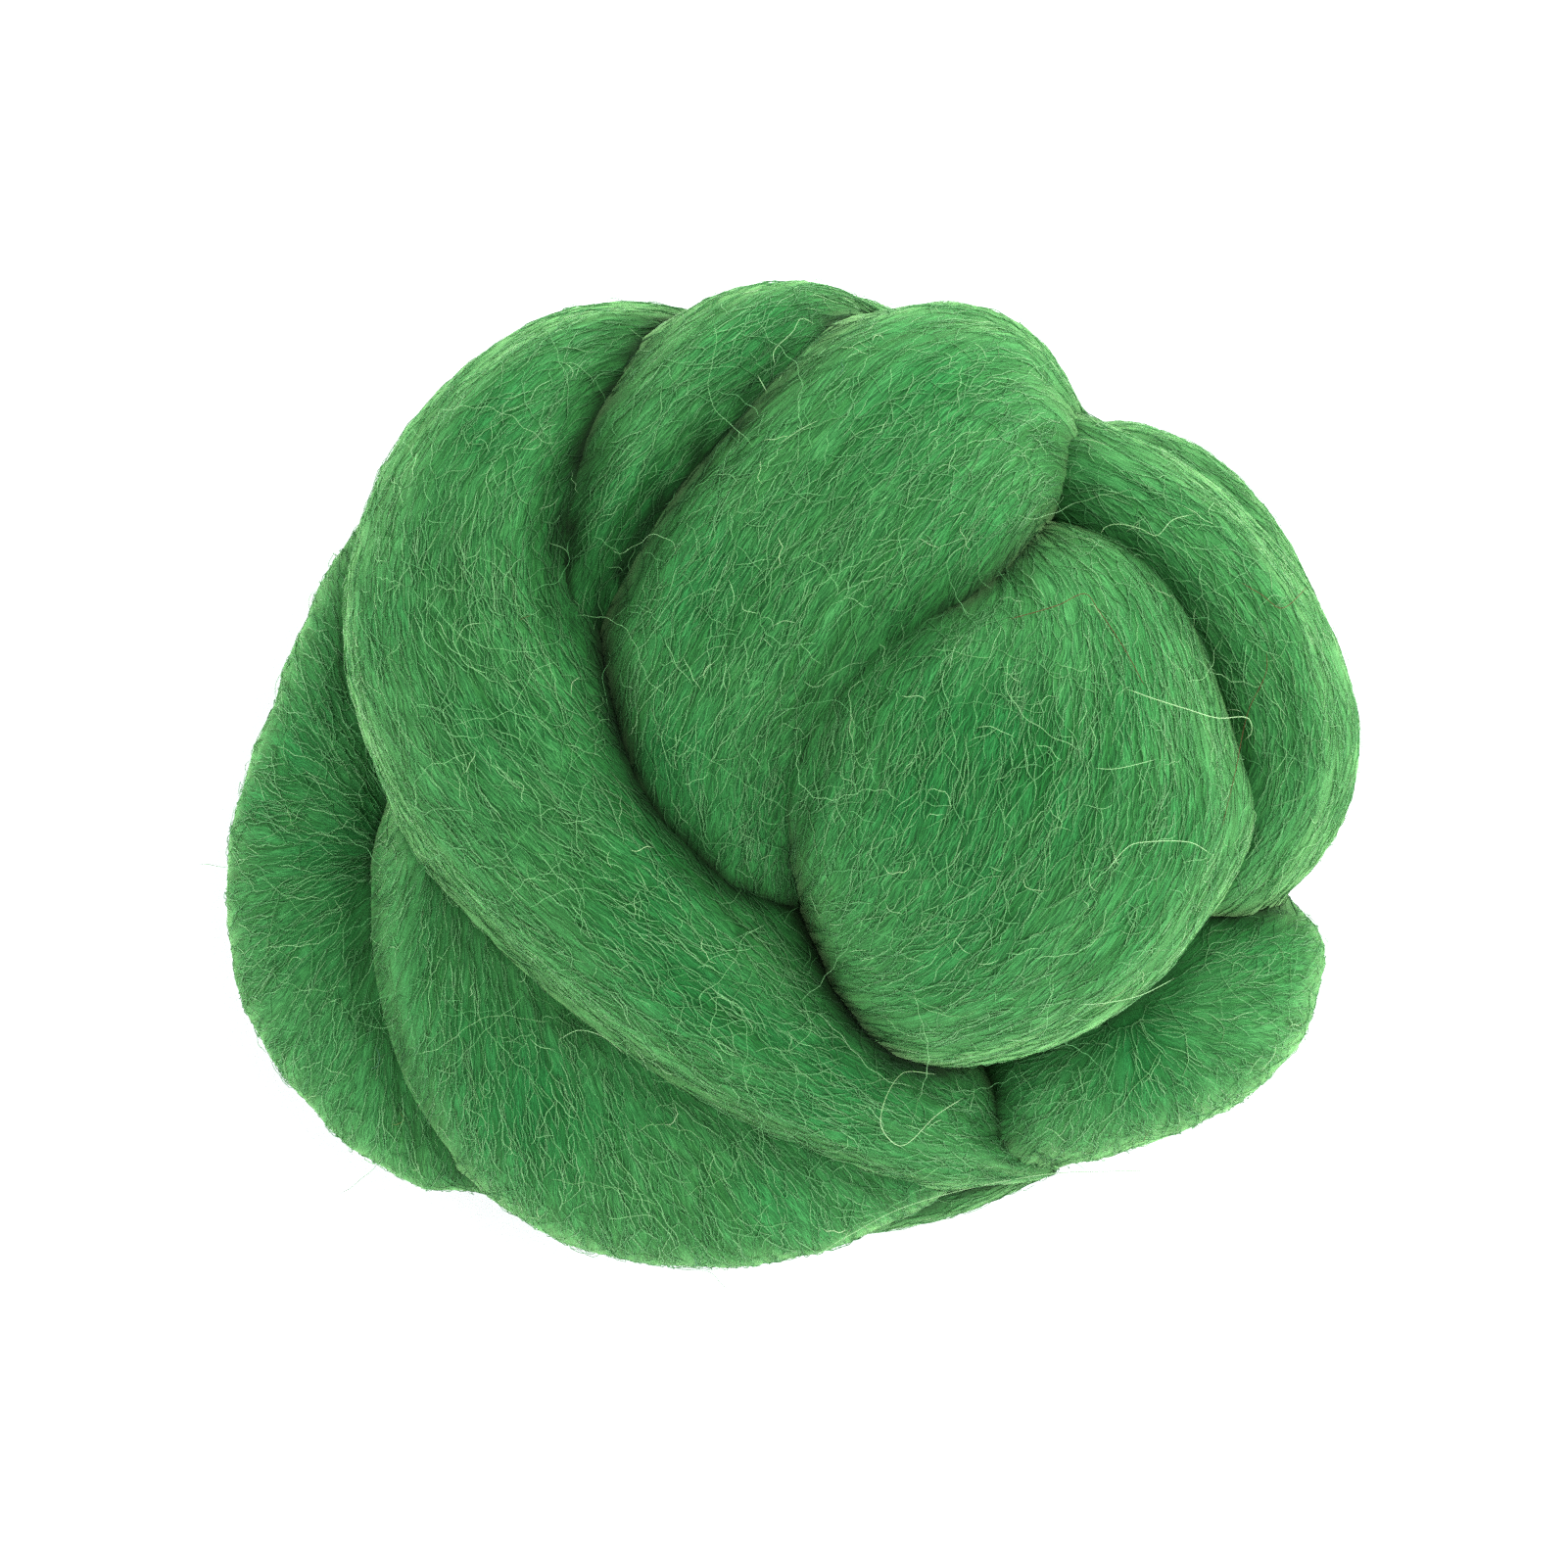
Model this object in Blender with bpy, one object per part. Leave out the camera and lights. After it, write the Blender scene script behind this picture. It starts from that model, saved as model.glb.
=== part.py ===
# Loose ball of wool roving: one long combed sliver folded and tucked over itself, lying on a table.
# Sizes are in millimetres in the tables and in metres in the mesh.  +X right, +Y back, +Z up.
import bpy
import bmesh
import math
import numpy as np

MM = 0.001

# Driving dimensions, in millimetres
BALL_LENGTH = 174.0        # overall size left to right
BALL_WIDTH = 150.5         # overall size front to back
BALL_HEIGHT = 75.0         # table to the crown of the dome
RIB_DEPTH = 0.45           # how far the soft ropey ribs stand out of a fold
RIB_PITCH = 14.0           # distance across the fibres from rib to rib
MERGE_CELL = 1.15          # cell of the mesh that joins the folds into one body
TRIANGLE_GOAL = 9400       # triangles in the finished body
BASE_SNAP = 0.45           # points this near the table are laid on it

# A band is a length of sliver lying over the ball.  One row for each section along it:
# middle x, middle y, middle z, half width, half height, roll in degrees
BANDS = {
    "back": dict(end=8.0, rows=(
        (-62.0, 2.0, 18.0, 8.0, 12.0, 0.0),
        (-59.0, 24.0, 18.0, 11.0, 17.0, 0.0),
        (-43.0, 44.0, 18.0, 14.0, 19.0, 0.0),
        (-16.0, 56.0, 18.0, 14.0, 19.5, 0.0),
        (12.0, 57.0, 18.0, 14.0, 19.5, 0.0),
        (36.0, 46.0, 18.0, 13.0, 19.0, 0.0),
        (54.0, 28.0, 18.0, 10.0, 15.0, 0.0),
    )),
    "sliver": dict(end=6.0, rows=(
        (-8.0, -62.0, 8.0, 6.0, 9.0, 0.0),
        (8.0, -63.5, 8.0, 8.0, 10.0, 0.0),
        (24.0, -59.5, 8.0, 9.0, 10.0, 0.0),
        (38.0, -54.0, 8.0, 8.0, 10.0, 0.0),
        (50.0, -49.0, 8.0, 6.0, 9.0, 0.0),
    )),
    "right": dict(end=6.0, rows=(
        (30.0, 42.5, 30.0, 8.5, 14.0, 0.0),
        (40.5, 44.0, 32.0, 10.5, 18.0, 0.0),
        (50.5, 39.5, 30.5, 11.5, 21.0, 0.0),
        (60.5, 31.0, 29.5, 12.0, 23.0, 0.0),
        (69.0, 18.0, 27.0, 13.5, 24.5, 0.0),
        (73.0, 3.0, 25.0, 13.5, 24.5, 0.0),
        (68.0, -12.0, 22.0, 11.0, 20.0, 0.0),
        (59.0, -22.0, 18.0, 6.0, 13.0, 0.0),
    )),
    "rim": dict(end=6.0, rows=(
        (40.0, 48.5, 13.0, 6.0, 12.0, 0.0),
        (51.5, 46.0, 13.0, 9.0, 14.0, 0.0),
        (62.5, 38.0, 13.0, 10.0, 14.5, 0.0),
        (71.5, 26.5, 13.0, 9.5, 14.0, 0.0),
        (77.5, 10.0, 13.0, 8.0, 12.0, 0.0),
    )),
    "middle": dict(end=4.0, rows=(
        (36.0, 41.0, 10.0, 10.0, 10.0, 0.0),
        (30.0, 50.5, 26.0, 16.5, 14.0, 0.0),
        (24.0, 51.5, 39.5, 20.5, 19.0, 0.0),
        (14.5, 43.5, 47.5, 24.5, 22.0, 0.0),
        (1.5, 26.5, 48.5, 26.0, 23.0, 0.0),
        (-10.0, 6.0, 44.0, 24.0, 22.0, 0.0),
        (-13.0, -12.0, 38.0, 18.0, 20.0, 0.0),
        (-14.0, -28.0, 30.0, 10.0, 15.0, 0.0),
    )),
    "wedge": dict(end=5.0, rows=(
        (14.0, 54.0, 10.0, 10.0, 11.0, 0.0),
        (3.0, 61.0, 27.0, 13.0, 16.0, 0.0),
        (-7.0, 56.0, 40.0, 16.0, 18.0, 0.0),
        (-23.0, 40.0, 42.0, 14.0, 18.0, 0.0),
        (-32.0, 20.0, 39.0, 13.0, 16.0, 0.0),
        (-36.0, 2.0, 32.0, 10.0, 12.0, 0.0),
    )),
    "dome": dict(end=2.6, rows=(
        (31.0, 37.0, 42.0, 9.5, 10.0, 0.0),
        (35.5, 23.5, 45.0, 26.0, 24.0, 0.0),
        (32.0, 8.0, 46.0, 37.0, 29.0, 0.0),
        (25.5, -10.0, 44.5, 37.0, 28.0, 0.0),
        (15.0, -23.0, 38.0, 28.0, 22.0, 0.0),
        (0.0, -28.0, 28.0, 13.0, 13.0, 0.0),
    )),
    "saddle": dict(end=3.0, rows=(
        (31.0, 38.0, 40.0, 8.0, 9.0, 0.0),
        (15.0, 25.0, 52.0, 12.0, 12.0, 0.0),
        (4.0, 12.0, 52.0, 14.0, 14.0, 0.0),
        (-3.0, -2.0, 47.0, 15.0, 15.0, 0.0),
        (-5.0, -16.0, 40.0, 13.0, 14.0, 0.0),
        (-3.0, -28.0, 31.0, 9.0, 12.0, 0.0),
    )),
    "cross": dict(end=6.0, rows=(
        (0.0, 46.0, 12.0, 10.0, 11.0, 0.0),
        (-24.0, 57.0, 28.0, 14.5, 18.0, -20.0),
        (-42.0, 42.0, 39.0, 18.0, 21.0, -20.0),
        (-46.5, 22.0, 42.0, 20.5, 22.0, -15.0),
        (-38.0, 1.5, 43.0, 21.5, 22.0, -8.0),
        (-22.5, -17.0, 42.0, 20.0, 20.0, 0.0),
        (-4.0, -34.0, 37.0, 17.5, 17.0, 0.0),
        (15.0, -47.0, 29.0, 14.0, 14.0, 0.0),
        (30.0, -56.0, 18.0, 10.5, 11.0, 0.0),
        (40.0, -61.0, 12.0, 7.0, 8.0, 0.0),
    )),
}

# A puff is a rounded fold seen from above.  Rows walk its widest outline (x, y), then come its crown,
# the point under it and the height of the widest line.
PUFFS = {
    "core": dict(crown=(5.0, 0.0, 42.0), foot=(0.0, -4.0, -9.0), waist=8.0, swell=0.7, outline=(
        (67.0, 6.0), (58.0, 32.0), (32.0, 48.0), (0.0, 53.0), (-38.0, 46.0), (-62.0, 20.0),
        (-70.0, -20.0), (-56.0, -48.0), (-12.0, -62.0), (24.0, -56.0), (50.0, -44.0), (66.0, -24.0),
    )),
    "pad": dict(crown=(0.0, 0.0, 12.0), foot=(0.0, 0.0, -9.0), waist=1.0, swell=0.4, outline=(
        (70.0, 4.0), (62.0, 30.0), (38.0, 48.0), (6.0, 57.0), (-24.0, 55.0), (-50.0, 42.0),
        (-64.0, 16.0), (-72.0, -18.0), (-66.0, -44.0), (-44.0, -57.0), (-12.0, -65.0), (20.0, -61.0),
        (50.0, -48.0), (68.0, -28.0),
    )),
    "left": dict(crown=(-63.0, -15.0, 31.0), foot=(-45.0, -10.0, -7.0), waist=14.0, swell=0.75, outline=(
        (-87.0, -21.0), (-84.0, -37.0), (-72.0, -54.0), (-58.0, -63.5), (-45.0, -63.5), (-30.0, -50.0),
        (-28.0, -10.0), (-45.0, 25.0), (-62.0, 42.0), (-72.0, 30.0), (-81.0, 8.0), (-86.0, -7.0),
    )),
    "lower": dict(crown=(-46.0, 2.0, 44.0), foot=(-20.0, -25.0, -7.0), waist=17.0, swell=0.7, outline=(
        (-64.0, -6.0), (-66.0, -25.0), (-61.5, -45.0), (-49.0, -62.5), (-33.0, -73.0), (-9.0, -76.0),
        (12.0, -71.0), (26.0, -61.0), (30.0, -45.0), (15.0, -20.0), (-10.0, 0.0), (-35.0, 12.0),
        (-54.0, 8.0),
    )),
    "corner": dict(crown=(50.0, -36.0, 40.0), foot=(50.0, -36.0, -5.0), waist=14.5, swell=0.75, outline=(
        (80.0, -22.0), (82.0, -31.0), (78.0, -42.0), (70.0, -50.0), (58.0, -56.0), (43.0, -60.0),
        (30.0, -58.0), (26.0, -47.0), (30.0, -30.0), (48.0, -14.0), (66.0, -14.0),
    )),
}


def clear_scene():
    for item in list(bpy.data.objects):
        bpy.data.objects.remove(item, do_unlink=True)
    for item in list(bpy.data.meshes):
        bpy.data.meshes.remove(item)
    for item in list(bpy.data.materials):
        bpy.data.materials.remove(item)


def smooth_rows(knots, rows, wanted):
    # Cubic curve through every row whose slope at a row follows its two neighbours
    slope = np.zeros_like(rows)
    slope[1:-1] = (rows[2:] - rows[:-2]) / (knots[2:] - knots[:-2])[:, None]
    slope[0] = (rows[1] - rows[0]) / (knots[1] - knots[0])
    slope[-1] = (rows[-1] - rows[-2]) / (knots[-1] - knots[-2])
    k = np.clip(np.searchsorted(knots, wanted, "right") - 1, 0, len(knots) - 2)
    step = (knots[k + 1] - knots[k])[:, None]
    s = (wanted[:, None] - knots[k][:, None]) / step
    near = (2 * s ** 3 - 3 * s ** 2 + 1) * rows[k] + (s ** 3 - 2 * s ** 2 + s) * step * slope[k]
    far = (3 * s ** 2 - 2 * s ** 3) * rows[k + 1] + (s ** 3 - s ** 2) * step * slope[k + 1]
    return near + far


def rib_factor(girth, turn, travel):
    # Soft ribs along the fibres: two waves round the section that drift slowly along the fold
    count = max(3, round(girth / RIB_PITCH))
    wave = np.cos(count * turn + 1.3 * np.sin(3.1 * travel)) + 0.6 * np.cos((count - 2) * turn + 2.2 * travel)
    return wave / 1.6


def band_grid(shape, stations, spokes):
    # Ellipse carried along a smooth path; both ends close to a point
    rows = np.array(shape["rows"])
    reach = np.r_[0.0, np.cumsum(np.linalg.norm(np.diff(rows[:, :3], axis=0), axis=1))]
    u = 0.5 - 0.5 * np.cos(math.pi * np.linspace(0.0, 1.0, stations))
    row = smooth_rows(reach / reach[-1], rows, u)
    middle = row[:, :3]
    ahead = np.gradient(middle, u, axis=0)
    ahead = ahead / np.linalg.norm(ahead, axis=1)[:, None]
    side = np.cross(ahead, np.array([0.0, 0.0, 1.0]))
    side = side / np.linalg.norm(side, axis=1)[:, None]
    over = np.cross(side, ahead)
    roll = np.radians(row[:, 5])[:, None]
    across = side * np.cos(roll) + over * np.sin(roll)
    upward = over * np.cos(roll) - side * np.sin(roll)
    close = np.sqrt(np.clip(1.0 - np.abs(2.0 * u - 1.0) ** shape["end"], 0.0, 1.0))
    turn = np.linspace(0.0, 2.0 * math.pi, spokes, endpoint=False)
    girth = math.pi * (rows[:, 3].max() + rows[:, 4].max())
    rib = RIB_DEPTH * rib_factor(girth, turn[None, :], 4.0 * u[:, None]) * close[:, None]
    wide = ((row[:, 3] * close)[:, None] + rib) * np.cos(turn)[None, :]
    high = ((row[:, 4] * close)[:, None] + rib) * np.sin(turn)[None, :]
    return middle[:, None, :] + wide[..., None] * across[:, None, :] + high[..., None] * upward[:, None, :]


def puff_grid(shape, stations, spokes):
    # Fibres run from the crown over the widest outline to the foot, as on a lopsided globe
    pts = np.array(shape["outline"])
    ring = np.vstack([pts[-2:], pts, pts[:3]])
    reach = np.r_[0.0, np.cumsum(np.linalg.norm(np.diff(ring, axis=0), axis=1))]
    first, last = reach[2], reach[2 + len(pts)]
    outline = smooth_rows(reach, ring, first + (last - first) * np.arange(spokes) / spokes)
    fall = math.pi * np.linspace(0.0, 1.0, stations)
    turn = np.linspace(0.0, 2.0 * math.pi, spokes, endpoint=False)
    swell = np.sin(fall) ** shape["swell"]
    blend = (0.5 - 0.5 * np.cos(fall))[:, None]
    crown = np.array(shape["crown"])
    foot = np.array(shape["foot"])
    axis = crown[:2] * (1.0 - blend) + foot[:2] * blend
    rib = RIB_DEPTH * rib_factor(last - first, turn[None, :], 2.0 * fall[:, None]) * np.sin(fall)[:, None]
    spread = (outline[None] - axis[:, None, :]) * swell[:, None, None]
    length = np.maximum(np.linalg.norm(spread, axis=2), 1e-6)
    flat = axis[:, None, :] + spread * (1.0 + rib / np.maximum(length, 8.0))[..., None]
    half = np.where(fall < math.pi / 2.0, crown[2] - shape["waist"], shape["waist"] - foot[2])
    height = (shape["waist"] + half * np.cos(fall))[:, None] * np.ones((1, spokes))
    return np.concatenate([flat, height[..., None]], axis=2)


def add_closed_grid(mesh, grid):
    # Quads between neighbouring stations, a fan of triangles at each end point
    stations, spokes = grid.shape[:2]
    ends = [mesh.verts.new(grid[0].mean(axis=0) * MM), mesh.verts.new(grid[-1].mean(axis=0) * MM)]
    rings = [[mesh.verts.new(p * MM) for p in grid[i]] for i in range(1, stations - 1)]
    for i in range(len(rings) - 1):
        for j in range(spokes):
            k = (j + 1) % spokes
            mesh.faces.new((rings[i][j], rings[i][k], rings[i + 1][k], rings[i + 1][j]))
    for j in range(spokes):
        k = (j + 1) % spokes
        mesh.faces.new((ends[0], rings[0][k], rings[0][j]))
        mesh.faces.new((ends[1], rings[-1][j], rings[-1][k]))


def folds_object():
    mesh = bmesh.new()
    for shape in BANDS.values():
        add_closed_grid(mesh, band_grid(shape, 64, 56))
    for shape in PUFFS.values():
        add_closed_grid(mesh, puff_grid(shape, 48, 72))
    bmesh.ops.recalc_face_normals(mesh, faces=mesh.faces)
    data = bpy.data.meshes.new("roving")
    mesh.to_mesh(data)
    mesh.free()
    item = bpy.data.objects.new("roving", data)
    bpy.context.scene.collection.objects.link(item)
    return item


def apply_modifier(item, kind, settings):
    mod = item.modifiers.new(kind.lower(), kind)
    for name, value in settings.items():
        setattr(mod, name, value)
    graph = bpy.context.evaluated_depsgraph_get()
    graph.update()
    done = bpy.data.meshes.new_from_object(item.evaluated_get(graph))
    item.modifiers.clear()
    old = item.data
    item.data = done
    bpy.data.meshes.remove(old)
    done.name = "roving"


def cut_flat_base(item):
    # Everything under the table plane goes and one flat face closes the cut
    mesh = bmesh.new()
    mesh.from_mesh(item.data)
    for vert in mesh.verts:
        if abs(vert.co.z) < BASE_SNAP * MM:
            vert.co.z = 0.0
    bmesh.ops.bisect_plane(mesh, geom=mesh.verts[:] + mesh.edges[:] + mesh.faces[:], dist=1e-7,
                           plane_co=(0.0, 0.0, 0.0), plane_no=(0.0, 0.0, 1.0), clear_inner=True)
    low = [f for f in mesh.faces if all(abs(v.co.z) < 1e-7 for v in f.verts)]
    bmesh.ops.delete(mesh, geom=low, context="FACES")
    loose = [v for v in mesh.verts if not v.link_faces]
    bmesh.ops.delete(mesh, geom=loose, context="VERTS")
    rim = [e for e in mesh.edges if len(e.link_faces) == 1]
    bmesh.ops.holes_fill(mesh, edges=rim, sides=0)
    bmesh.ops.remove_doubles(mesh, verts=mesh.verts, dist=0.05 * MM)
    bmesh.ops.triangulate(mesh, faces=mesh.faces)
    bmesh.ops.recalc_face_normals(mesh, faces=mesh.faces)
    mesh.to_mesh(item.data)
    mesh.free()


def centre_on_table(item):
    data = item.data
    flat = np.empty(len(data.vertices) * 3)
    data.vertices.foreach_get("co", flat)
    co = flat.reshape(-1, 3)
    low, high = co.min(axis=0), co.max(axis=0)
    co = co - np.array([(low[0] + high[0]) / 2.0, (low[1] + high[1]) / 2.0, low[2]])
    size = high - low
    wanted = np.array([BALL_LENGTH, BALL_WIDTH, BALL_HEIGHT]) * MM
    co = co * (wanted / size)
    data.vertices.foreach_set("co", co.ravel())
    data.update()


def wool_material():
    material = bpy.data.materials.new("green_wool")
    material.use_nodes = True
    shader = material.node_tree.nodes["Principled BSDF"]
    shader.inputs["Base Color"].default_value = (0.045, 0.235, 0.058, 1.0)
    shader.inputs["Roughness"].default_value = 0.9
    material.diffuse_color = (0.045, 0.235, 0.058, 1.0)
    return material


def build():
    clear_scene()
    item = folds_object()
    apply_modifier(item, "REMESH", dict(mode="VOXEL", voxel_size=MERGE_CELL * MM, adaptivity=0.0))
    apply_modifier(item, "SMOOTH", dict(factor=0.5, iterations=4))
    faces = sum(len(p.vertices) - 2 for p in item.data.polygons)
    apply_modifier(item, "DECIMATE", dict(ratio=TRIANGLE_GOAL / faces, use_collapse_triangulate=True))
    cut_flat_base(item)
    centre_on_table(item)
    item.data.materials.clear()
    item.data.materials.append(wool_material())
    for face in item.data.polygons:
        face.use_smooth = True


build()
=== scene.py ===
import math

import bpy
import numpy as np
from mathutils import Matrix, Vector
from mathutils.bvhtree import BVHTree


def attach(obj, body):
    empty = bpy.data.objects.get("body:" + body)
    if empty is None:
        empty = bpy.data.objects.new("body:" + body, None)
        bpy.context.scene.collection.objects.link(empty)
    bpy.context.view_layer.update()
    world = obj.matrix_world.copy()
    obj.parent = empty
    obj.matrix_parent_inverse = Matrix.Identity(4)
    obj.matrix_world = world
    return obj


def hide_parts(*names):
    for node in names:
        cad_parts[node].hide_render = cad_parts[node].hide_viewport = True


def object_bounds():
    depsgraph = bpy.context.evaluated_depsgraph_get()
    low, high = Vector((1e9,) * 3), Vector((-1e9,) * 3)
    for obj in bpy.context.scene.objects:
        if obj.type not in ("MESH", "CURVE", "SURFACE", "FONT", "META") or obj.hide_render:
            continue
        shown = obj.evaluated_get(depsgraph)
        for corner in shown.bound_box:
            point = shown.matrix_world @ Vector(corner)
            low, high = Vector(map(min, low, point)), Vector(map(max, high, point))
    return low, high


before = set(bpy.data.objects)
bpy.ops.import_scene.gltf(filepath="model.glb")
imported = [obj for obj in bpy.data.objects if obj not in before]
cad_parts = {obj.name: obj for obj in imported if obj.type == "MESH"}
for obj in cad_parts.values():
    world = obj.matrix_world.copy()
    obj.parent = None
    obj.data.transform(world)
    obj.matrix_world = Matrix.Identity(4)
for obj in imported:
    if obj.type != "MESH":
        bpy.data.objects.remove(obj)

mm = 0.001
cadBox = np.array([[float(c) for c in corner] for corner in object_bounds()])
ballNode = "roving"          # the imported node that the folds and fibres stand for


def hexToLinear(code):
    # sRGB hex to linear: c/12.92 up to 0.04045, else ((c+0.055)/1.055)^2.4
    values = [int(code[i:i + 2], 16) / 255.0 for i in (1, 3, 5)]
    linear = [c / 12.92 if c <= 0.04045 else ((c + 0.055) / 1.055) ** 2.4 for c in values]
    return (*linear, 1.0)


def addNode(owner, kind, inputs=None, out=0, **settings):
    # one node with its settings; an input is a value or another node's output; gives back one output
    tree = owner.node_tree
    node = tree.nodes.new(kind)
    for name, value in settings.items():
        setattr(node, name, value)
    for name, value in (inputs or {}).items():
        if isinstance(value, bpy.types.NodeSocket):
            tree.links.new(value, node.inputs[name])
        else:
            node.inputs[name].default_value = value
    return node.outputs[out] if node.outputs else None


def emptyMaterial(name):
    # a material with no nodes yet
    material = bpy.data.materials.new(name)
    material.use_nodes = True
    material.node_tree.nodes.clear()
    return material


def setStops(socket, stops):
    # places and colours of a colour ramp, given as a list of (place, hex)
    elements = socket.node.color_ramp.elements
    elements[0].position, elements[0].color = stops[0][0], hexToLinear(stops[0][1])
    elements[1].position, elements[1].color = stops[-1][0], hexToLinear(stops[-1][1])
    for place, code in stops[1:-1]:
        elements.new(place).color = hexToLinear(code)
    return socket


def smoothRows(knots, rows, wanted):
    # cubic through every row; the slope at a row is that between its two neighbours
    slope = np.zeros_like(rows)
    slope[1:-1] = (rows[2:] - rows[:-2]) / (knots[2:] - knots[:-2])[:, None]
    slope[0] = (rows[1] - rows[0]) / (knots[1] - knots[0])
    slope[-1] = (rows[-1] - rows[-2]) / (knots[-1] - knots[-2])
    k = np.clip(np.searchsorted(knots, wanted, "right") - 1, 0, len(knots) - 2)
    step = (knots[k + 1] - knots[k])[:, None]
    s = (wanted[:, None] - knots[k][:, None]) / step
    near = (2 * s ** 3 - 3 * s ** 2 + 1) * rows[k] + (s ** 3 - 2 * s ** 2 + s) * step * slope[k]
    far = (3 * s ** 2 - 2 * s ** 3) * rows[k + 1] + (s ** 3 - s ** 2) * step * slope[k + 1]
    return near + far


def unit(vectors):
    # vectors of length one along the last axis
    return vectors / (np.linalg.norm(vectors, axis=-1)[..., None] + 1e-12)


def reachAlong(points):
    # length along a line of points up to each of them, from nought at the first
    return np.r_[0.0, np.cumsum(np.linalg.norm(np.diff(points, axis=0), axis=1))]


def addObject(name, data):
    # a mesh, lamp or camera as an object of the scene
    thing = bpy.data.objects.new(name, data)
    bpy.context.scene.collection.objects.link(thing)
    return thing


# A band is a length of sliver lying over the ball, in millimetres.
# Each row is a section along it: middle x, y, z, half width, half height, roll in degrees.
bands = {
    "back": dict(end=8.0, rows=(
        (-62.0, 2.0, 18.0, 8.0, 12.0, 0.0),
        (-59.0, 24.0, 18.0, 11.0, 17.0, 0.0),
        (-43.0, 44.0, 18.0, 14.0, 19.0, 0.0),
        (-16.0, 56.0, 18.0, 14.0, 19.5, 0.0),
        (12.0, 57.0, 18.0, 14.0, 19.5, 0.0),
        (36.0, 46.0, 18.0, 13.0, 19.0, 0.0),
        (54.0, 28.0, 18.0, 10.0, 15.0, 0.0),
    )),
    "sliver": dict(end=6.0, rows=(
        (-8.0, -62.0, 8.0, 6.0, 9.0, 0.0),
        (8.0, -63.5, 8.0, 8.0, 10.0, 0.0),
        (24.0, -59.5, 8.0, 9.0, 10.0, 0.0),
        (38.0, -54.0, 8.0, 8.0, 10.0, 0.0),
        (50.0, -49.0, 8.0, 6.0, 9.0, 0.0),
    )),
    "right": dict(end=6.0, rows=(
        (30.0, 42.5, 30.0, 8.5, 14.0, 0.0),
        (40.5, 44.0, 32.0, 10.5, 18.0, 0.0),
        (50.5, 39.5, 30.5, 11.5, 21.0, 0.0),
        (60.5, 31.0, 29.5, 12.0, 23.0, 0.0),
        (69.0, 18.0, 27.0, 13.5, 24.5, 0.0),
        (73.0, 3.0, 25.0, 13.5, 24.5, 0.0),
        (68.0, -12.0, 22.0, 11.0, 20.0, 0.0),
        (59.0, -22.0, 18.0, 6.0, 13.0, 0.0),
    )),
    "rim": dict(end=6.0, rows=(
        (40.0, 48.5, 13.0, 6.0, 12.0, 0.0),
        (51.5, 46.0, 13.0, 9.0, 14.0, 0.0),
        (62.5, 38.0, 13.0, 10.0, 14.5, 0.0),
        (71.5, 26.5, 13.0, 9.5, 14.0, 0.0),
        (77.5, 10.0, 13.0, 8.0, 12.0, 0.0),
    )),
    "middle": dict(end=4.0, rows=(
        (36.0, 41.0, 10.0, 10.0, 10.0, 0.0),
        (30.0, 50.5, 26.0, 16.5, 14.0, 0.0),
        (24.0, 51.5, 39.5, 20.5, 19.0, 0.0),
        (14.5, 43.5, 47.5, 24.5, 22.0, 0.0),
        (1.5, 26.5, 48.5, 26.0, 23.0, 0.0),
        (-10.0, 6.0, 44.0, 24.0, 22.0, 0.0),
        (-13.0, -12.0, 38.0, 18.0, 20.0, 0.0),
        (-14.0, -28.0, 30.0, 10.0, 15.0, 0.0),
    )),
    "wedge": dict(end=5.0, rows=(
        (14.0, 54.0, 10.0, 10.0, 11.0, 0.0),
        (3.0, 61.0, 27.0, 13.0, 16.0, 0.0),
        (-7.0, 56.0, 40.0, 16.0, 18.0, 0.0),
        (-23.0, 40.0, 42.0, 14.0, 18.0, 0.0),
        (-32.0, 20.0, 39.0, 13.0, 16.0, 0.0),
        (-36.0, 2.0, 32.0, 10.0, 12.0, 0.0),
    )),
    "dome": dict(end=2.6, rows=(
        (31.0, 37.0, 42.0, 9.5, 10.0, 0.0),
        (35.5, 23.5, 45.0, 26.0, 24.0, 0.0),
        (32.0, 8.0, 46.0, 37.0, 29.0, 0.0),
        (25.5, -10.0, 44.5, 37.0, 28.0, 0.0),
        (15.0, -23.0, 38.0, 28.0, 22.0, 0.0),
        (0.0, -28.0, 28.0, 13.0, 13.0, 0.0),
    )),
    "saddle": dict(end=3.0, rows=(
        (31.0, 38.0, 40.0, 8.0, 9.0, 0.0),
        (15.0, 25.0, 52.0, 12.0, 12.0, 0.0),
        (4.0, 12.0, 52.0, 14.0, 14.0, 0.0),
        (-3.0, -2.0, 47.0, 15.0, 15.0, 0.0),
        (-5.0, -16.0, 40.0, 13.0, 14.0, 0.0),
        (-3.0, -28.0, 31.0, 9.0, 12.0, 0.0),
    )),
    "cross": dict(end=6.0, rows=(
        (0.0, 46.0, 12.0, 10.0, 11.0, 0.0),
        (-24.0, 57.0, 28.0, 14.5, 18.0, -20.0),
        (-42.0, 42.0, 39.0, 18.0, 21.0, -20.0),
        (-46.5, 22.0, 42.0, 20.5, 22.0, -15.0),
        (-38.0, 1.5, 43.0, 21.5, 22.0, -8.0),
        (-22.5, -17.0, 42.0, 20.0, 20.0, 0.0),
        (-4.0, -34.0, 37.0, 17.5, 17.0, 0.0),
        (15.0, -47.0, 29.0, 14.0, 14.0, 0.0),
        (30.0, -56.0, 18.0, 10.5, 11.0, 0.0),
        (40.0, -61.0, 12.0, 7.0, 8.0, 0.0),
    )),
}

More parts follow.
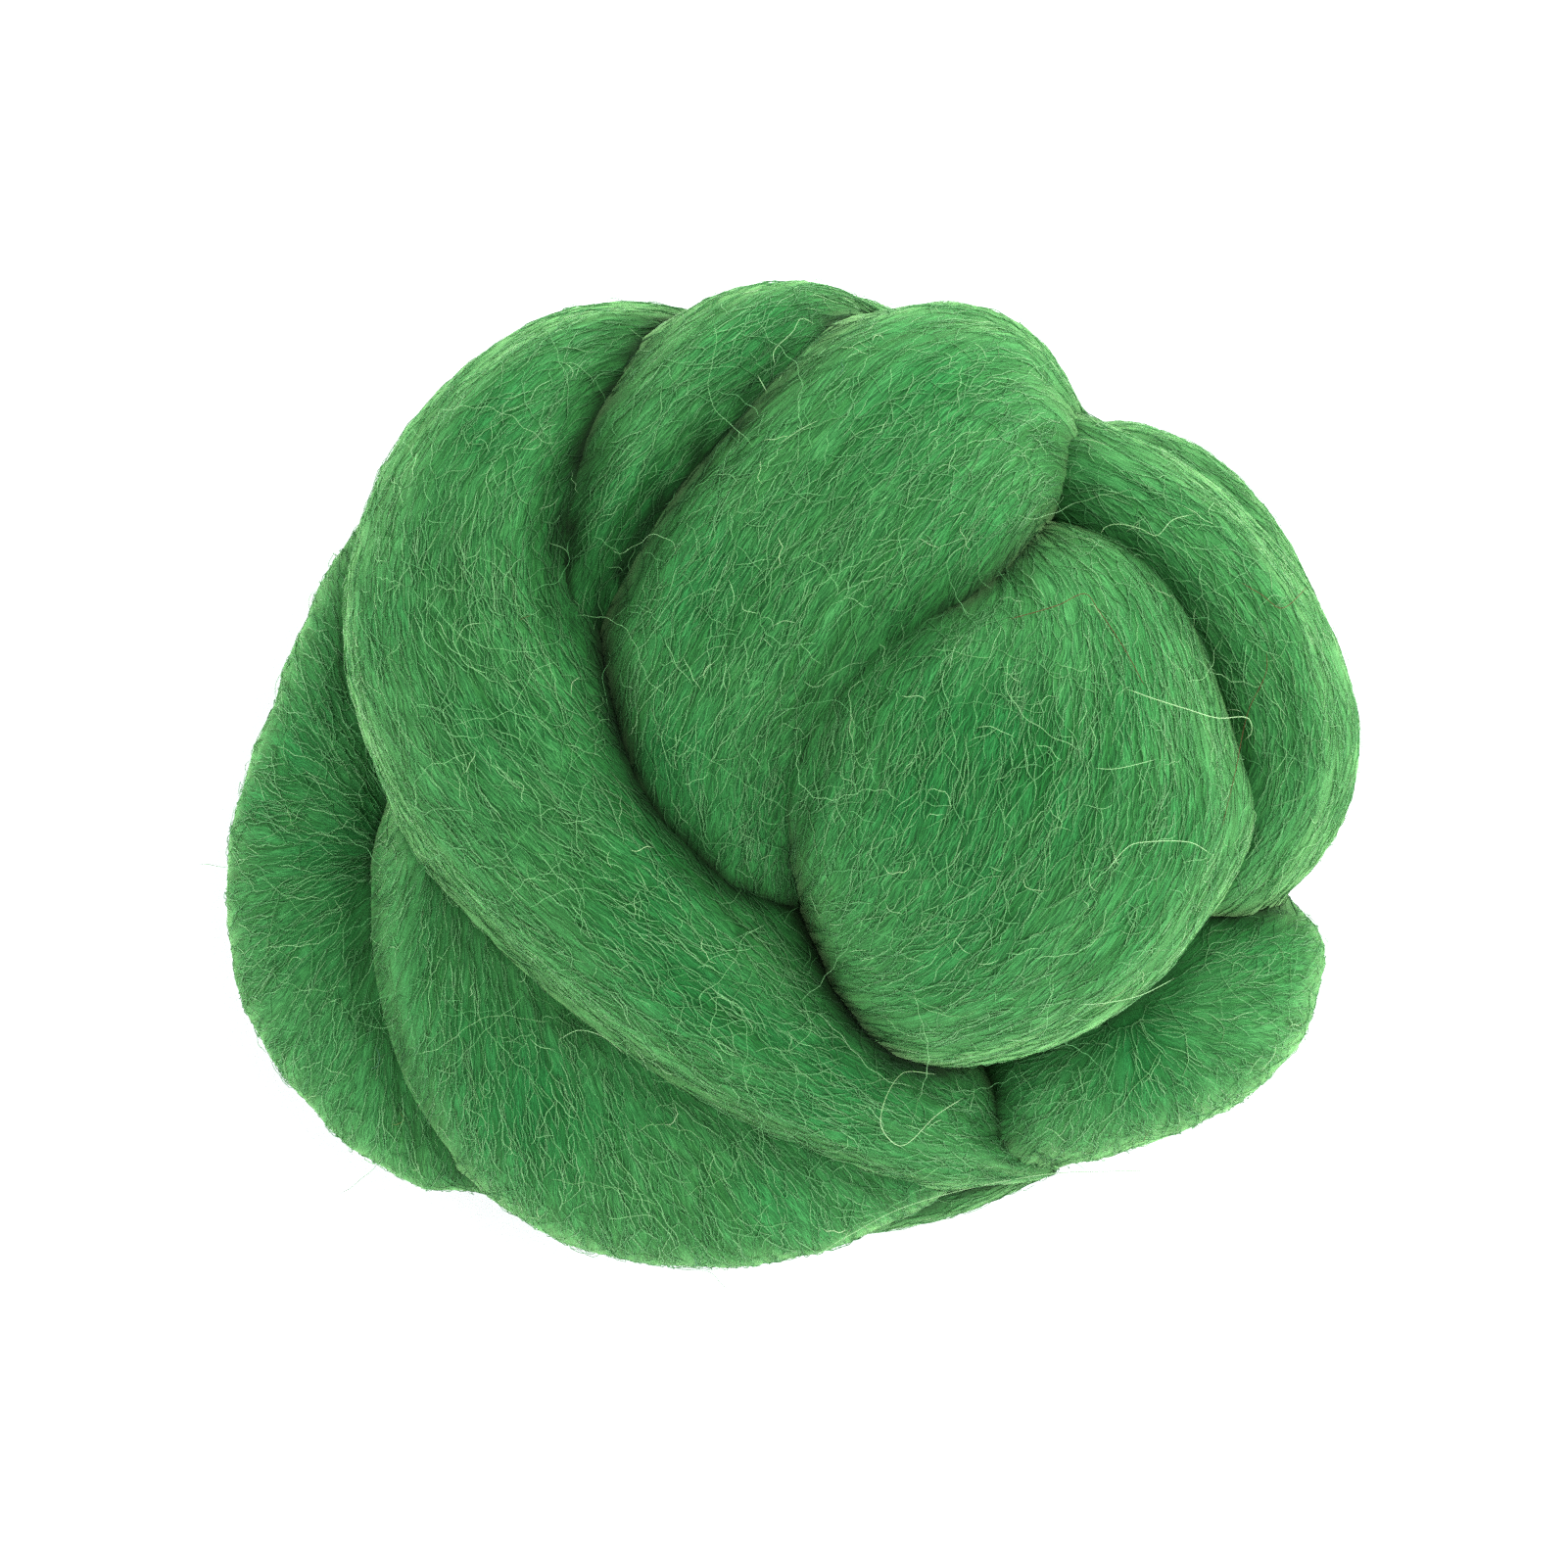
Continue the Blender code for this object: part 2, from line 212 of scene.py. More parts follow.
# A puff is a rounded fold: crown, the point under it, the height of its widest line, and that
# outline seen from above.  The outline starts where another fold covers it.
puffs = {
    "core": dict(crown=(5.0, 0.0, 42.0), foot=(0.0, -4.0, -9.0), waist=8.0, swell=0.7, outline=(
        (67.0, 6.0), (58.0, 32.0), (32.0, 48.0), (0.0, 53.0), (-38.0, 46.0), (-62.0, 20.0),
        (-70.0, -20.0), (-56.0, -48.0), (-12.0, -62.0), (24.0, -56.0), (50.0, -44.0), (66.0, -24.0),
    )),
    "left": dict(crown=(-57.0, -12.0, 31.0), foot=(-45.0, -10.0, -7.0), waist=14.0, swell=0.75, outline=(
        (-28.0, -10.0), (-45.0, 25.0), (-62.0, 42.0), (-72.0, 30.0), (-81.0, 8.0), (-86.0, -7.0),
        (-87.0, -21.0), (-84.0, -37.0), (-72.0, -54.0), (-58.0, -63.5), (-45.0, -63.5), (-30.0, -50.0),
    )),
    "lower": dict(crown=(-46.0, 2.0, 44.0), foot=(-20.0, -25.0, -7.0), waist=17.0, swell=0.7, outline=(
        (-10.0, 0.0), (-35.0, 12.0), (-54.0, 8.0), (-64.0, -6.0), (-66.0, -25.0), (-61.5, -45.0),
        (-49.0, -62.5), (-33.0, -73.0), (-9.0, -76.0), (12.0, -71.0), (26.0, -61.0), (30.0, -45.0),
        (15.0, -20.0),
    )),
    "corner": dict(crown=(50.0, -36.0, 40.0), foot=(50.0, -36.0, -5.0), waist=14.5, swell=0.75, outline=(
        (48.0, -14.0), (66.0, -14.0), (80.0, -22.0), (82.0, -31.0), (78.0, -42.0), (70.0, -50.0),
        (58.0, -56.0), (43.0, -60.0), (30.0, -58.0), (26.0, -47.0), (30.0, -30.0),
    )),
}

foldLook = dict(
    stations=66, spokes=58,          # grid points along and round a fold
    ribDepth=0.45, ribPitch=14.0,    # mm
    ribDrift=(1.3, 3.1),             # radians that the ribs drift, and how fast
    lesser=0.6, lesserDrift=2.2,     # strength and drift of the lesser ribs between them
    bandTravel=4.0, puffTravel=2.0,  # how far the drift goes from end to end
    leastSpread=8.0,                 # mm from a puff's axis, inside which its ribs fade
)


def ribWave(girth, turn, travel):
    # two cosines round the section whose phase drifts slowly along the fold
    look = foldLook
    count = max(3, round(girth / look["ribPitch"]))
    far, fast = look["ribDrift"]
    wave = np.cos(count * turn + far * np.sin(fast * travel))
    wave = wave + look["lesser"] * np.cos((count - 2) * turn + look["lesserDrift"] * travel)
    return look["ribDepth"] * wave / (1.0 + look["lesser"])


def bandGrid(shape, turn):
    # ellipse (a cos t, b sin t) carried along a smooth path; a and b shrink to nothing at both ends
    rows = np.array(shape["rows"])
    reach = reachAlong(rows[:, :3])
    u = 0.5 - 0.5 * np.cos(math.pi * np.linspace(0.0, 1.0, foldLook["stations"]))
    row = smoothRows(reach / reach[-1], rows, u)
    ahead = unit(np.gradient(row[:, :3], u, axis=0))
    side = unit(np.cross(ahead, np.array([0.0, 0.0, 1.0])))
    over = np.cross(side, ahead)
    roll = np.radians(row[:, 5])[:, None]
    across = side * np.cos(roll) + over * np.sin(roll)
    upward = over * np.cos(roll) - side * np.sin(roll)
    close = np.sqrt(np.clip(1.0 - np.abs(2.0 * u - 1.0) ** shape["end"], 0.0, 1.0))
    girth = math.pi * (rows[:, 3].max() + rows[:, 4].max())
    rib = ribWave(girth, turn[None, :], foldLook["bandTravel"] * u[:, None]) * close[:, None]
    wide = ((row[:, 3] * close)[:, None] + rib) * np.cos(turn)[None, :]
    high = ((row[:, 4] * close)[:, None] + rib) * np.sin(turn)[None, :]
    points = row[:, None, :3] + wide[..., None] * across[:, None, :] + high[..., None] * upward[:, None, :]
    return points, reach[-1] * u, girth


def puffGrid(shape, turn):
    # lopsided globe: from the crown out to the outline by sin(f)^swell, and down by cos(f)
    pts = np.array(shape["outline"])
    ring = np.vstack([pts[-2:], pts, pts[:3]])
    reach = reachAlong(ring)
    first, last = reach[2], reach[2 + len(pts)]
    outline = smoothRows(reach, ring, first + (last - first) * (turn - turn[0]) / (2.0 * math.pi))
    fall = math.pi * np.linspace(0.0, 1.0, foldLook["stations"])
    swell = np.sin(fall).clip(0.0) ** shape["swell"]
    blend = (0.5 - 0.5 * np.cos(fall))[:, None]
    crown, foot = np.array(shape["crown"]), np.array(shape["foot"])
    axis = crown[:2] * (1.0 - blend) + foot[:2] * blend
    travelled = foldLook["puffTravel"] * fall[:, None]
    rib = ribWave(last - first, turn[None, :], travelled) * np.sin(fall)[:, None]
    spread = (outline[None] - axis[:, None, :]) * swell[:, None, None]
    length = np.linalg.norm(spread, axis=2)
    flat = axis[:, None, :] + spread * (1.0 + rib / np.maximum(length, foldLook["leastSpread"]))[..., None]
    half = np.where(fall < math.pi / 2.0, crown[2] - shape["waist"], shape["waist"] - foot[2])
    height = (shape["waist"] + half * np.cos(fall))[:, None] * np.ones((1, len(turn)))
    points = np.concatenate([flat, height[..., None]], axis=2)
    travel = np.r_[0.0, np.cumsum(np.linalg.norm(np.diff(points, axis=0), axis=2).mean(axis=1))]
    return points, travel, last - first


def signedGap(points, tree, limit):
    # mm from each point to a fold's surface, less than nothing inside it, and that surface's own normal
    gap = np.full(len(points), limit)
    facing = np.zeros((len(points), 3))
    for index, point in enumerate(points):
        near, normal, _, distance = tree.find_nearest(Vector(point), limit * mm)
        if near is not None:
            inside = (Vector(point) - near).dot(normal) < 0.0
            gap[index] = (-distance if inside else distance) / mm
            facing[index] = normal
    return gap, facing


def searchTree(meshes):
    # folds as one tree for ray casts
    verts, faces, offset = [], [], 0
    for mesh in meshes:
        verts += [v.co.copy() for v in mesh.vertices]
        faces += [[offset + v for v in face.vertices] for face in mesh.polygons]
        offset += len(mesh.vertices)
    return BVHTree.FromPolygons(verts, faces)


def measureFold(fold):
    # steps along and round the fold at each grid point, and the normal that they give, facing out
    points = fold["points"]
    rise = np.gradient(points, axis=0)
    around = (np.roll(points[:, :-1], -1, axis=1) - np.roll(points[:, :-1], 1, axis=1)) / 2.0
    around = np.concatenate([around, around[:, :1]], axis=1)
    normal = unit(np.cross(rise, around))
    middle = points[:, :-1].mean(axis=1)[:, None, :]
    if ((points - middle) * normal).sum() < 0.0:
        normal = -normal
    fold.update(normal=normal, rise=rise, around=around)


# pairs of folds that flow into each other: mm over which they blend, mm that the painted shade along their
# meeting line is softened
softJoins = {
    frozenset(("middle", "saddle")): (7.0, 1.6),
    frozenset(("saddle", "dome")): (6.0, 1.2),
    frozenset(("middle", "dome")): (5.0, 1.0),
    frozenset(("dome", "right")): (13.0, 3.4),
    frozenset(("saddle", "right")): (8.0, 2.0),
    frozenset(("middle", "right")): (10.0, 2.0),
    frozenset(("right", "rim")): (3.0, 1.6),
    frozenset(("left", "lower")): (3.0, 1.4),
    frozenset(("cross", "left")): (7.0, 1.0),
    frozenset(("cross", "lower")): (7.0, 1.8),
    frozenset(("cross", "corner")): (5.0, 1.2),
    frozenset(("wedge", "middle")): (4.0, 0.0),
    frozenset(("cross", "wedge")): (5.0, 0.0),
    frozenset(("cross", "back")): (8.0, 3.0),
    frozenset(("wedge", "back")): (8.0, 3.0),
    frozenset(("middle", "back")): (8.0, 3.0),
    frozenset(("dome", "corner")): (4.0, 1.0),
    frozenset(("right", "corner")): (3.0, 1.0),
}


def blendFolds(folds):
    # near a soft join each fold swells by (k - |gap|)^2 / 4k, which fills the valley between the two
    trees = {name: searchTree([foldMesh("trial", fold)]) for name, fold in folds.items()}
    swells = {name: np.zeros(fold["points"][:, :-1].shape[:2]) for name, fold in folds.items()}
    for pair, (reach, _) in softJoins.items():
        for name in pair:
            other, = pair - {name}
            flat = folds[name]["points"][:, :-1].reshape(-1, 3)
            gap = signedGap(flat, trees[other], reach)[0].reshape(swells[name].shape)
            swells[name] = np.maximum(swells[name], (reach - np.abs(gap)).clip(0.0) ** 2 / (4.0 * reach))
    for name, fold in folds.items():
        swell = np.concatenate([swells[name], swells[name][:, :1]], axis=1)
        fold["points"] = fold["points"] + fold["normal"] * (swell * mm)[..., None]
        fold["points"][..., 2] = np.maximum(fold["points"][..., 2], cadBox[0][2])
        measureFold(fold)
    for mesh in [mesh for mesh in bpy.data.meshes if mesh.name.startswith("trial")]:
        bpy.data.meshes.remove(mesh)


def makeFolds():
    # every fold as a grid of points in metres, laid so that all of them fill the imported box
    turn = np.linspace(-math.pi / 2.0, 1.5 * math.pi, foldLook["spokes"] + 1)
    folds = {}
    for name, shape in {**bands, **puffs}.items():
        points, along, girth = (bandGrid if name in bands else puffGrid)(shape, turn)
        folds[name] = dict(points=points, along=along, girth=girth)
    cloud = np.concatenate([fold["points"].reshape(-1, 3) for fold in folds.values()])
    low, high = cloud[cloud[:, 2] > 0.0].min(axis=0), cloud.max(axis=0)
    low[2] = 0.0
    for fold in folds.values():
        p = cadBox[0] + (fold["points"] - low) / (high - low) * (cadBox[1] - cadBox[0])
        p[..., 2] = np.maximum(p[..., 2], cadBox[0][2])
        fold["points"] = p
        measureFold(fold)
    blendFolds(folds)
    return folds


def meshFromArrays(name, verts, corners, sides, smooth=True):
    # corners holds every face's vertex numbers in turn, and sides says how many belong to each face
    mesh = bpy.data.meshes.new(name)
    mesh.vertices.add(len(verts))
    mesh.vertices.foreach_set("co", verts.astype(np.float32).ravel())
    mesh.loops.add(len(corners))
    mesh.loops.foreach_set("vertex_index", corners.astype(np.int32))
    mesh.polygons.add(len(sides))
    mesh.polygons.foreach_set("loop_start", (np.cumsum(sides) - sides).astype(np.int32))
    mesh.polygons.foreach_set("loop_total", sides.astype(np.int32))
    mesh.update(calc_edges=True)
    if smooth:
        mesh.shade_smooth()
    return mesh


def foldMesh(name, fold):
    # quads between stations and a fan at each pole; the uv map holds millimetres along and round
    points = fold["points"]
    stations, spokes = points.shape[0], points.shape[1] - 1
    poles = np.array([points[0].mean(axis=0), points[-1].mean(axis=0)])
    verts = np.concatenate([points[1:-1, :-1].reshape(-1, 3), poles])
    i, j = (grid.ravel() for grid in np.meshgrid(np.arange(stations - 3), np.arange(spokes), indexing="ij"))
    k = (j + 1) % spokes
    quads = np.stack([i * spokes + j, i * spokes + k, (i + 1) * spokes + k, (i + 1) * spokes + j], axis=1)
    spoke = np.arange(spokes)
    following = (spoke + 1) % spokes
    lastRing = (stations - 3) * spokes
    startFan = np.stack([np.full(spokes, len(verts) - 2), following, spoke], axis=1)
    endFan = np.stack([np.full(spokes, len(verts) - 1), lastRing + spoke, lastRing + following], axis=1)
    along, width = fold["along"], fold["girth"] / spokes
    quadUv = np.stack([along[i + 1], j * width, along[i + 1], (j + 1) * width,
                       along[i + 2], (j + 1) * width, along[i + 2], j * width], axis=1)
    one = np.ones(spokes)
    startUv = np.stack([one * along[0], (spoke + 0.5) * width, one * along[1], (spoke + 1) * width,
                        one * along[1], spoke * width], axis=1)
    endUv = np.stack([one * along[-1], (spoke + 0.5) * width, one * along[-2], spoke * width,
                      one * along[-2], (spoke + 1) * width], axis=1)
    corners = np.concatenate([quads.ravel(), startFan.ravel(), endFan.ravel()])
    sides = np.concatenate([np.full(len(quads), 4), np.full(2 * spokes, 3)])
    mesh = meshFromArrays(name, verts, corners, sides)
    layer = mesh.uv_layers.new(name="fibreMm")
    uv = np.concatenate([quadUv.ravel(), startUv.ravel(), endUv.ravel()])
    layer.data.foreach_set("uv", uv.astype(np.float32))
    faceNormal = np.empty(len(mesh.polygons) * 3, dtype=np.float32)
    mesh.polygons.foreach_get("normal", faceNormal)
    facing = (faceNormal.reshape(-1, 3)[:len(quads)] * fold["normal"][i + 1, j]).sum(axis=1)
    if (facing > 0.0).mean() < 0.5:
        mesh.flip_normals()
    return mesh


def addPiece(name, mesh, material):
    # a finished piece on the ball's own body
    piece = addObject(name, mesh)
    mesh.materials.append(material)
    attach(piece, "root")
    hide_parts(ballNode)


shadeOpennessLook = dict(
    reach=26.0, clear=0.9,       # mm looked through, mm off the wool that a ray starts
    rays=16, bowl=0.97,          # rays a point, and the sine of the flattest one's tilt
    aside=(0.31, 0.86, 0.12),    # a slant direction that the bowl is turned by
)


def addShadeOpenness(fold, tree):
    # how open each point lies: one less the share of rays in a cosine bowl round the normal that
    # meet other wool within reach, near wool counting more; it is the mask of the shade painted where wool
    # lies shut in
    look = shadeOpennessLook
    points, normals = fold["points"], fold["normal"]
    k = np.arange(look["rays"]) + 0.5
    tilt = look["bowl"] * np.sqrt(k / look["rays"])
    spin = k * math.pi * (3.0 - math.sqrt(5.0))
    side = unit(np.cross(normals, np.array(look["aside"])))
    over = np.cross(normals, side)
    rays = (side[..., None, :] * (tilt * np.cos(spin))[:, None]
            + over[..., None, :] * (tilt * np.sin(spin))[:, None]
            + normals[..., None, :] * np.sqrt(1.0 - tilt ** 2)[:, None])
    reach = look["reach"] * mm
    start = points + normals * look["clear"] * mm
    shut = np.zeros(points.shape[:2])
    for station in range(points.shape[0]):
        for spoke in range(points.shape[1] - 1):
            place = Vector(start[station, spoke])
            for ray in rays[station, spoke]:
                distance = tree.ray_cast(place, Vector(ray), reach)[3]
                if distance is not None:
                    shut[station, spoke] += 1.0 - distance / reach
    shut[:, -1] = shut[:, 0]
    fold["open"] = 1.0 - shut / look["rays"]


def addShadeGap(folds, trees):
    # the least gap in mm from each point to any other fold, which is nought along the very line where two
    # folds meet; a join gets more by the cube of how far the two surfaces' normals agree, and a soft join
    # its own mm; another fold that the point lies deep inside doesn't count; the gap is the mask of the
    # painted shade along the lines where folds meet
    for name, fold in folds.items():
        flat = fold["points"][:, :-1].reshape(-1, 3)
        own = fold["normal"][:, :-1].reshape(-1, 3)
        least = np.full(len(flat), creaseShadeLook["gapLimit"])
        for other, tree in trees.items():
            if other == name:
                continue
            gap, facing = signedGap(flat, tree, creaseShadeLook["gapLimit"])
            gap = np.where(gap < -creaseShadeLook["hidden"], creaseShadeLook["gapLimit"], gap)
            flush = (own * facing).sum(axis=1).clip(0.0) ** 3
            soft = softJoins.get(frozenset((name, other)), (0.0, 0.0))[1]
            least = np.minimum(least, gap + creaseShadeLook["flushRise"] * flush + soft)
        gap = least.reshape(fold["points"].shape[0], -1)
        fold["gap"] = np.concatenate([gap, gap[:, :1]], axis=1)


def writeValues(mesh, name, values):
    # a number for every vertex, as an attribute that a colour reads
    layer = mesh.attributes.new(name, "FLOAT", "POINT")
    layer.data.foreach_set("value", values.astype(np.float32))


def writeGridValues(mesh, fold):
    # openness and gap of every grid point, in the order of the mesh's vertices, as masks of the painted
    # crease shade
    for name in ("open", "gap"):
        values = np.r_[fold[name][1:-1, :-1].ravel(), fold[name][0].mean(), fold[name][-1].mean()]
        writeValues(mesh, name, values)


woolLook = dict(
    wander=(16.0, 16.0, 2.4),    # mm along, across and high, of the slow drift of the combed fibres
    frizz=(2.2, 2.2, 0.36),      # mm, the same of their crimp
    hairs=(                      # slant in degrees, length and width in mm of the drawn hairs
        (2.0, 5.0, 0.16),
        (-11.0, 4.0, 0.17),
        (13.0, 4.0, 0.17),
    ),
    apart=(7.3, 3.1),            # mm that each of these sets is shifted from the one before
    hairStops=((0.46, "#154420"), (0.53, "#235e2e"), (0.60, "#33763c"), (0.69, "#4a9050")),
    lock=(22.0, 2.6),            # mm, length and width of the locks that the wool lies in
    lockStops=((0.30, "#bccfb8"), (0.6, "#ffffff")),
    blotch=30.0,                 # mm, size of the bluer patches of dye
    blotchStops=((0.42, "#ffffff"), (0.72, "#9fe8d8")),
    bumpHeight=0.06,             # mm
    lockRelief=1.5,              # height of the locks for one of the hairs
    glowHex="#a8e694",           # the bloom of fine fibres seen edge on
)
# painted shade in the creases: how far to look for the folds' meeting lines, and the dark greens painted
# along them and where wool lies shut in
creaseShadeLook = dict(
    gapLimit=8.0,                # mm looked through for other folds
    flushRise=6.0,               # mm that a flush join is eased
    hidden=5.5,                  # mm inside another fold from where a point is out of sight
    gapWidth=8.0,                # mm over which a meeting line fades out
    gapShadeStops=((0.0, "#18321e"), (0.13, "#43684b"), (0.4, "#b4cab8"), (1.0, "#ffffff")),
    openShadeStops=((0.10, "#26442e"), (0.24, "#7fa387"), (0.38, "#e4f0e6"), (0.50, "#ffffff")),
)


def tintedBy(material, colour, pairs):
    # the colour times the ramp colour of each value in turn, given as (value, stops)
    for value, stops in pairs:
        tint = setStops(addNode(material, "ShaderNodeValToRGB", {"Fac": value}), stops)
        colour = addNode(material, "ShaderNodeMix", {0: 1.0, 6: colour, 7: tint}, out=2,
                         data_type="RGBA", blend_type="MULTIPLY")
    return colour


def paintCreaseShade(material, colour):
    # painted shade: the colour sinks to dark green where the wool lies shut in and along the lines where
    # folds meet, standing in for the shade that falls there
    openness = addNode(material, "ShaderNodeAttribute", out="Fac", attribute_name="open")
    gap = addNode(material, "ShaderNodeAttribute", out="Fac", attribute_name="gap")
    gap = addNode(material, "ShaderNodeMath", {0: gap, 1: creaseShadeLook["gapWidth"]}, operation="DIVIDE")
    return tintedBy(material, colour, ((openness, creaseShadeLook["openShadeStops"]), (gap, creaseShadeLook["gapShadeStops"])))


def combedWool():
    # combed dyed wool top: matt, soft-edged, pale crimped hairs over a dark green depth
    look = woolLook
    wool = emptyMaterial("combedWool")
    place = addNode(wool, "ShaderNodeUVMap", uv_map="fibreMm")

    # the run of the fibres: the map's own, drifting slowly and bent by the crimp
    for length, across, height in (look["wander"], look["frizz"]):
        spread = addNode(wool, "ShaderNodeVectorMath", {0: place, 1: (1.0 / length, 1.0 / across, 0.0)},
                         operation="MULTIPLY")
        wave = addNode(wool, "ShaderNodeTexNoise", {"Vector": spread, "Scale": 1.0, "Detail": 1.5},
                       out="Color")
        place = addNode(wool, "ShaderNodeVectorMath", {0: wave, 1: (0.0, 2.0 * height, 0.0), 2: place},
                        operation="MULTIPLY_ADD")

    # sets of hairs at three slants, the palest showing over the others
    web = None
    for number, (slant, length, width) in enumerate(look["hairs"]):
        laid = addNode(wool, "ShaderNodeMapping", {
            "Vector": place, "Location": (look["apart"][0] * number, look["apart"][1] * number, 0.0),
            "Rotation": (0.0, 0.0, math.radians(slant)), "Scale": (length, width, 1.0)},
            vector_type="TEXTURE")
        hairs = addNode(wool, "ShaderNodeTexNoise", {
            "Vector": laid, "Scale": 1.0, "Detail": 1.5, "Roughness": 0.5})
        if web is None:
            web = hairs
        else:
            web = addNode(wool, "ShaderNodeMath", {0: web, 1: hairs}, operation="MAXIMUM")
    colour = setStops(addNode(wool, "ShaderNodeValToRGB", {"Fac": web}), look["hairStops"])

    # locks of hairs lie lighter and darker side by side, and the dye has taken unevenly
    locks = addNode(wool, "ShaderNodeMapping", {"Vector": place, "Scale": (*look["lock"], 1.0)},
                    vector_type="TEXTURE")
    lock = addNode(wool, "ShaderNodeTexNoise", {"Vector": locks, "Scale": 1.0, "Detail": 2.0})
    solid = addNode(wool, "ShaderNodeTexCoord", out="Object")
    dye = addNode(wool, "ShaderNodeTexNoise", {
        "Vector": solid, "Scale": 1.0 / (look["blotch"] * mm), "Detail": 2.0})
    colour = tintedBy(wool, colour, ((lock, look["lockStops"]), (dye, look["blotchStops"])))
    # painted shade: darker where the wool lies shut in and along the lines where folds meet
    colour = paintCreaseShade(wool, colour)

    relief = addNode(wool, "ShaderNodeMath", {0: lock, 1: look["lockRelief"], 2: web},
                     operation="MULTIPLY_ADD")
    bump = addNode(wool, "ShaderNodeBump", {
        "Height": relief, "Strength": 1.0, "Distance": look["bumpHeight"] * mm})
    shader = addNode(wool, "ShaderNodeBsdfPrincipled", {
        "Base Color": colour, "Roughness": 0.92, "Normal": bump, "Specular IOR Level": 0.12,
        "Sheen Weight": 1.0, "Sheen Roughness": 0.4, "Sheen Tint": hexToLinear(look["glowHex"])})
    addNode(wool, "ShaderNodeOutputMaterial", {"Surface": shader})
    return wool


hairLook = dict(
    toneStops=((0.0, "#4c9c56"), (0.35, "#6bb06f"), (0.7, "#94cb8e"), (0.88, "#b8dfaa"),
               (0.94, "#cfe8b9"), (0.96, "#4f9a86"), (0.98, "#7e8a48"), (1.0, "#7c4f38")),
    through=0.5,                 # share of light that passes through a hair
    floorGap=0.2,                # mm, the least height of a hair over the floor
    lowest=0.8,                  # mm over the floor, below which no hair is rooted
    lookFrom=0.6, hiddenBy=2.0,  # mm off the wool that a look outwards starts, mm within which wool hides
    toneSpread=(1.8, 2.2),       # the two powers of a beta draw, which keeps most tones in the middle
    bowRound=0.7,                # power of the bow's sine; less is blunter
    upSway=0.35, sunk=0.05,      # share of the sway that goes up and down, mm that the ends are sunk in
    stiff=3,                     # path points on either side that a long hair bridges
    fewest=3,                    # hairs of one set on one fold, under which there are none
)


def looseWool():
    # single wool hairs of the same dye, some paler, a few bluish, olive or brown, thin enough to glow
    hair = emptyMaterial("looseWoolHair")
    tone = addNode(hair, "ShaderNodeAttribute", out="Fac", attribute_name="tone")
    colour = setStops(addNode(hair, "ShaderNodeValToRGB", {"Fac": tone}), hairLook["toneStops"])
    # painted shade: hairs darken where the wool under them lies shut in and along the lines where folds
    # meet
    colour = paintCreaseShade(hair, colour)
    shader = addNode(hair, "ShaderNodeBsdfPrincipled", {
        "Base Color": colour, "Roughness": 0.6, "Specular IOR Level": 0.3})
    glow = addNode(hair, "ShaderNodeBsdfTranslucent", {"Color": colour})
    both = addNode(hair, "ShaderNodeMixShader", {0: hairLook["through"], 1: shader, 2: glow})
    addNode(hair, "ShaderNodeOutputMaterial", {"Surface": both})
    return hair


def sampleGrid(grid, i, j):
    # bilinear look-up at fractional station i and spoke j, which wraps round
    a = np.clip(np.floor(i).astype(int), 0, grid.shape[0] - 2)
    wrapped = np.mod(j, grid.shape[1] - 1)
    b = np.clip(np.floor(wrapped).astype(int), 0, grid.shape[1] - 2)
    s, t = i - a, wrapped - b
    if grid.ndim == 3:
        s, t = s[..., None], t[..., None]
    return ((grid[a, b] * (1 - s) + grid[a + 1, b] * s) * (1 - t)
            + (grid[a, b + 1] * (1 - s) + grid[a + 1, b + 1] * s) * t)


leastStep = 2e-5      # metres, the shortest side of a grid cell that a walk reckons with


def walkFold(fold, i, j, heading, bend, stride, steps):
    # fibres that walk over a fold in even strides; heading 0 runs with the combing, bend turns it each step
    walked = []
    last = fold["points"].shape[0] - 2.0
    for step in range(steps):
        rise, around = sampleGrid(fold["rise"], i, j), sampleGrid(fold["around"], i, j)
        riseLength = np.maximum(np.linalg.norm(rise, axis=-1), leastStep)
        aroundLength = np.maximum(np.linalg.norm(around, axis=-1), leastStep)
        normal = sampleGrid(fold["normal"], i, j)
        run = (rise / riseLength[:, None] * np.cos(heading)[:, None]
               + around / aroundLength[:, None] * np.sin(heading)[:, None])
        walked.append((sampleGrid(fold["points"], i, j), normal, unit(np.cross(normal, run)),
                       sampleGrid(fold["open"], i, j), sampleGrid(fold["gap"], i, j)))
        i = np.clip(i + stride * np.cos(heading) / riseLength, 1.0, last)
        j = j + stride * np.sin(heading) / aroundLength
        heading = heading + bend
    return [np.stack(column, axis=1) for column in zip(*walked)]


